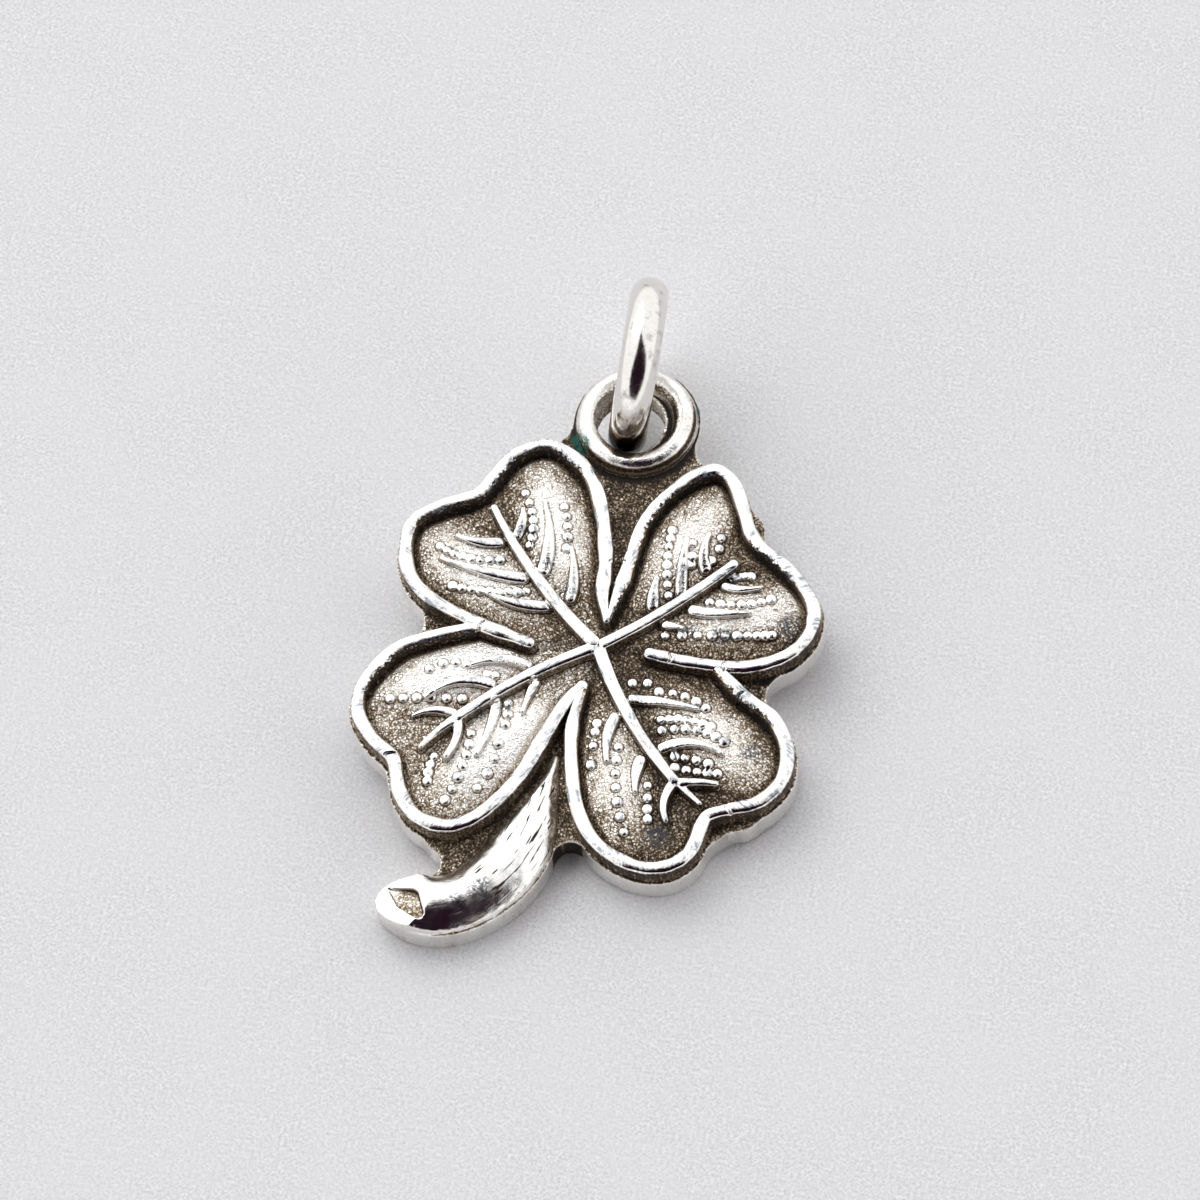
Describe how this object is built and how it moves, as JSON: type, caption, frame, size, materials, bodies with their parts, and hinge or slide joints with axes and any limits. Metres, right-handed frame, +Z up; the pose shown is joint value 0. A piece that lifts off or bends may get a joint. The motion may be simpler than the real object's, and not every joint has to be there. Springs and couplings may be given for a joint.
{
  "type": "four leaf clover pendant",
  "caption": "Cast four leaf clover pendant with rimmed and veined leaves, a curved stem and an eye with a round jump ring.",
  "frame": {"origin": "middle of the resting pendant's footprint, on the table", "axes": "+Y from the stem towards the eye and the jump ring, +Z up out of the clover's face, +X to the right of the clover seen from above"},
  "size_m": [0.0126, 0.0205, 0.005],
  "materials": {
    "oxidised_silver": "cast silver, dark brown in the hollows and polished on the crests",
    "polished_silver": "polished silver wire"
  },
  "bodies": {
    "root": {"clover": "oxidised_silver", "jump_ring": "polished_silver"}
  },
  "joints": []
}
